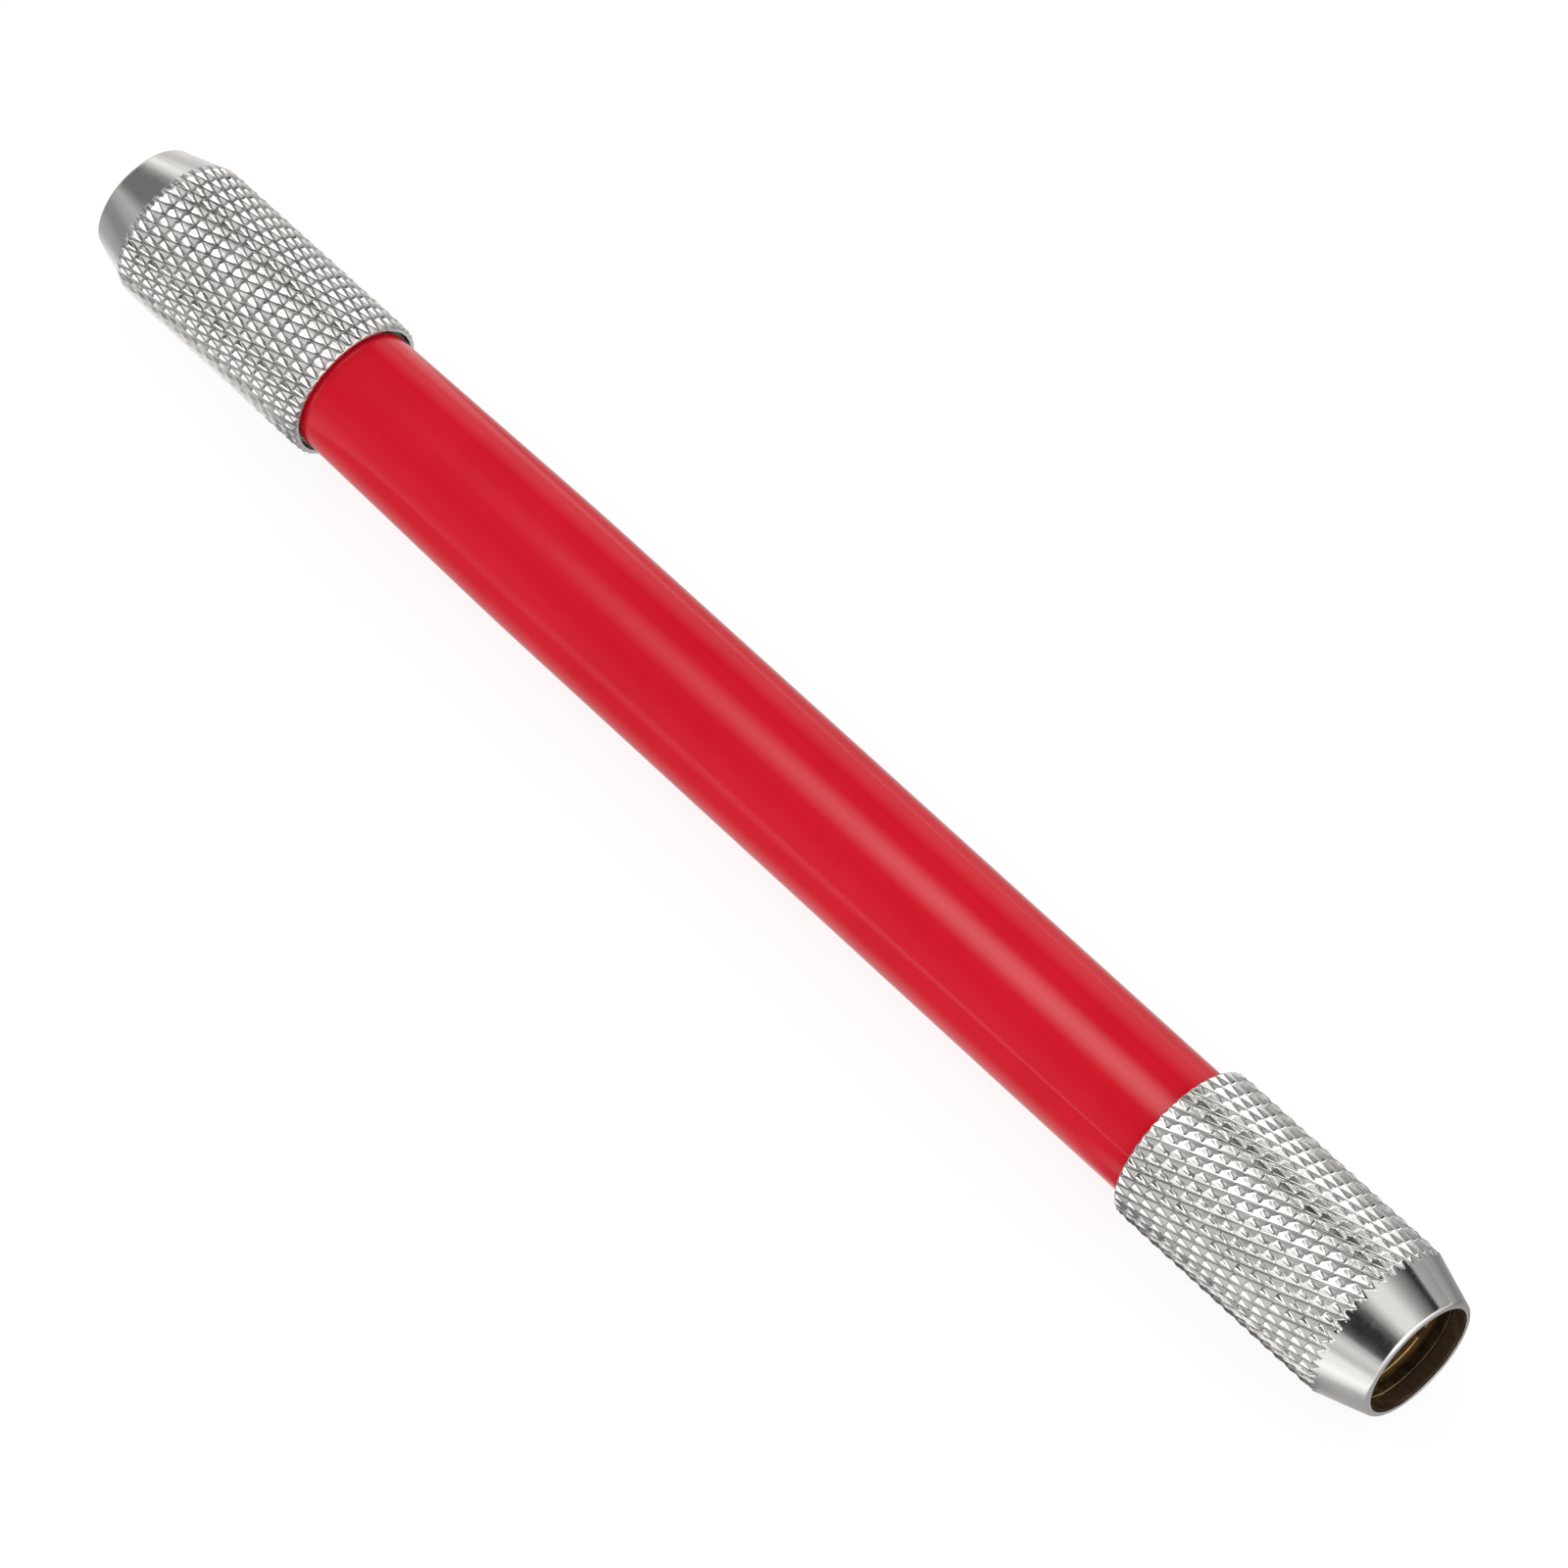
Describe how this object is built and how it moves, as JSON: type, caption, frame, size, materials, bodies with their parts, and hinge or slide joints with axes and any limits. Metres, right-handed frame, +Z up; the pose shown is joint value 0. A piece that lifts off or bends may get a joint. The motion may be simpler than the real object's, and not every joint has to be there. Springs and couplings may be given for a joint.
{
  "type": "pencil extender",
  "caption": "Straight lacquered metal tube with a knurled screw collar at each end that tightens spring jaws on a pencil stub pushed into its mouth.",
  "frame": {"origin": "centre of the bounding box, on the barrel's axis midway between the two mouths", "axes": "+X along the barrel towards the large mouth, +Z up as the extender lies on a table"},
  "size_m": [0.123, 0.0118, 0.0118],
  "materials": {
    "red_lacquer": "gloss lacquer",
    "nickel_plate": "bright, knurled",
    "brass": "satin"
  },
  "bodies": {
    "barrel": {"barrel_tube": "red_lacquer", "front_jaw_sleeve": "brass", "rear_jaw_sleeve": "brass"},
    "front_wedge_ring": {"front_wedge_ring": "brass"},
    "front_collar": {"front_collar": "nickel_plate"},
    "front_jaw_1": {"front_jaw_1": "brass"},
    "front_jaw_2": {"front_jaw_2": "brass"},
    "front_jaw_3": {"front_jaw_3": "brass"},
    "front_jaw_4": {"front_jaw_4": "brass"},
    "rear_wedge_ring": {"rear_wedge_ring": "brass"},
    "rear_collar": {"rear_collar": "nickel_plate"},
    "rear_jaw_1": {"rear_jaw_1": "brass"},
    "rear_jaw_2": {"rear_jaw_2": "brass"},
    "rear_jaw_3": {"rear_jaw_3": "brass"},
    "rear_jaw_4": {"rear_jaw_4": "brass"}
  },
  "joints": [
    {"name": "front_ring_slide", "type": "slide", "parent": "barrel", "child": "front_wedge_ring", "axis": [-1, 0, 0], "range_m": [0, 0.00075]},
    {"name": "front_collar_turn", "type": "hinge", "parent": "front_wedge_ring", "child": "front_collar", "pos_m": [0.0491, 0, 0], "axis": [-1, 0, 0], "range_deg": [0, 360]},
    {"name": "front_jaw_1_flex", "type": "hinge", "parent": "barrel", "child": "front_jaw_1", "pos_m": [0.0491, 0, 0.0031], "axis": [0, 1, 0], "range_deg": [0, 2.2]},
    {"name": "front_jaw_2_flex", "type": "hinge", "parent": "barrel", "child": "front_jaw_2", "pos_m": [0.0491, -0.0031, 0], "axis": [0, 0, 1], "range_deg": [0, 2.2]},
    {"name": "front_jaw_3_flex", "type": "hinge", "parent": "barrel", "child": "front_jaw_3", "pos_m": [0.0491, 0, -0.0031], "axis": [0, -1, 0], "range_deg": [0, 2.2]},
    {"name": "front_jaw_4_flex", "type": "hinge", "parent": "barrel", "child": "front_jaw_4", "pos_m": [0.0491, 0.0031, 0], "axis": [0, 0, -1], "range_deg": [0, 2.2]},
    {"name": "rear_ring_slide", "type": "slide", "parent": "barrel", "child": "rear_wedge_ring", "axis": [1, 0, 0], "range_m": [0, 0.00075]},
    {"name": "rear_collar_turn", "type": "hinge", "parent": "rear_wedge_ring", "child": "rear_collar", "pos_m": [-0.0491, 0, 0], "axis": [1, 0, 0], "range_deg": [0, 360]},
    {"name": "rear_jaw_1_flex", "type": "hinge", "parent": "barrel", "child": "rear_jaw_1", "pos_m": [-0.0491, 0, 0.00278], "axis": [0, -1, 0], "range_deg": [0, 2.2]},
    {"name": "rear_jaw_2_flex", "type": "hinge", "parent": "barrel", "child": "rear_jaw_2", "pos_m": [-0.0491, -0.00278, 0], "axis": [0, 0, -1], "range_deg": [0, 2.2]},
    {"name": "rear_jaw_3_flex", "type": "hinge", "parent": "barrel", "child": "rear_jaw_3", "pos_m": [-0.0491, 0, -0.00278], "axis": [0, 1, 0], "range_deg": [0, 2.2]},
    {"name": "rear_jaw_4_flex", "type": "hinge", "parent": "barrel", "child": "rear_jaw_4", "pos_m": [-0.0491, 0.00278, 0], "axis": [0, 0, 1], "range_deg": [0, 2.2]}
  ],
  "couplings": [
    {"joint": "front_ring_slide", "follows": "front_collar_turn", "m_per_rad": 0.00011937},
    {"joint": "front_jaw_1_flex", "follows": "front_collar_turn", "ratio": 0.006111},
    {"joint": "front_jaw_2_flex", "follows": "front_collar_turn", "ratio": 0.006111},
    {"joint": "front_jaw_3_flex", "follows": "front_collar_turn", "ratio": 0.006111},
    {"joint": "front_jaw_4_flex", "follows": "front_collar_turn", "ratio": 0.006111},
    {"joint": "rear_ring_slide", "follows": "rear_collar_turn", "m_per_rad": 0.00011937},
    {"joint": "rear_jaw_1_flex", "follows": "rear_collar_turn", "ratio": 0.006111},
    {"joint": "rear_jaw_2_flex", "follows": "rear_collar_turn", "ratio": 0.006111},
    {"joint": "rear_jaw_3_flex", "follows": "rear_collar_turn", "ratio": 0.006111},
    {"joint": "rear_jaw_4_flex", "follows": "rear_collar_turn", "ratio": 0.006111}
  ]
}
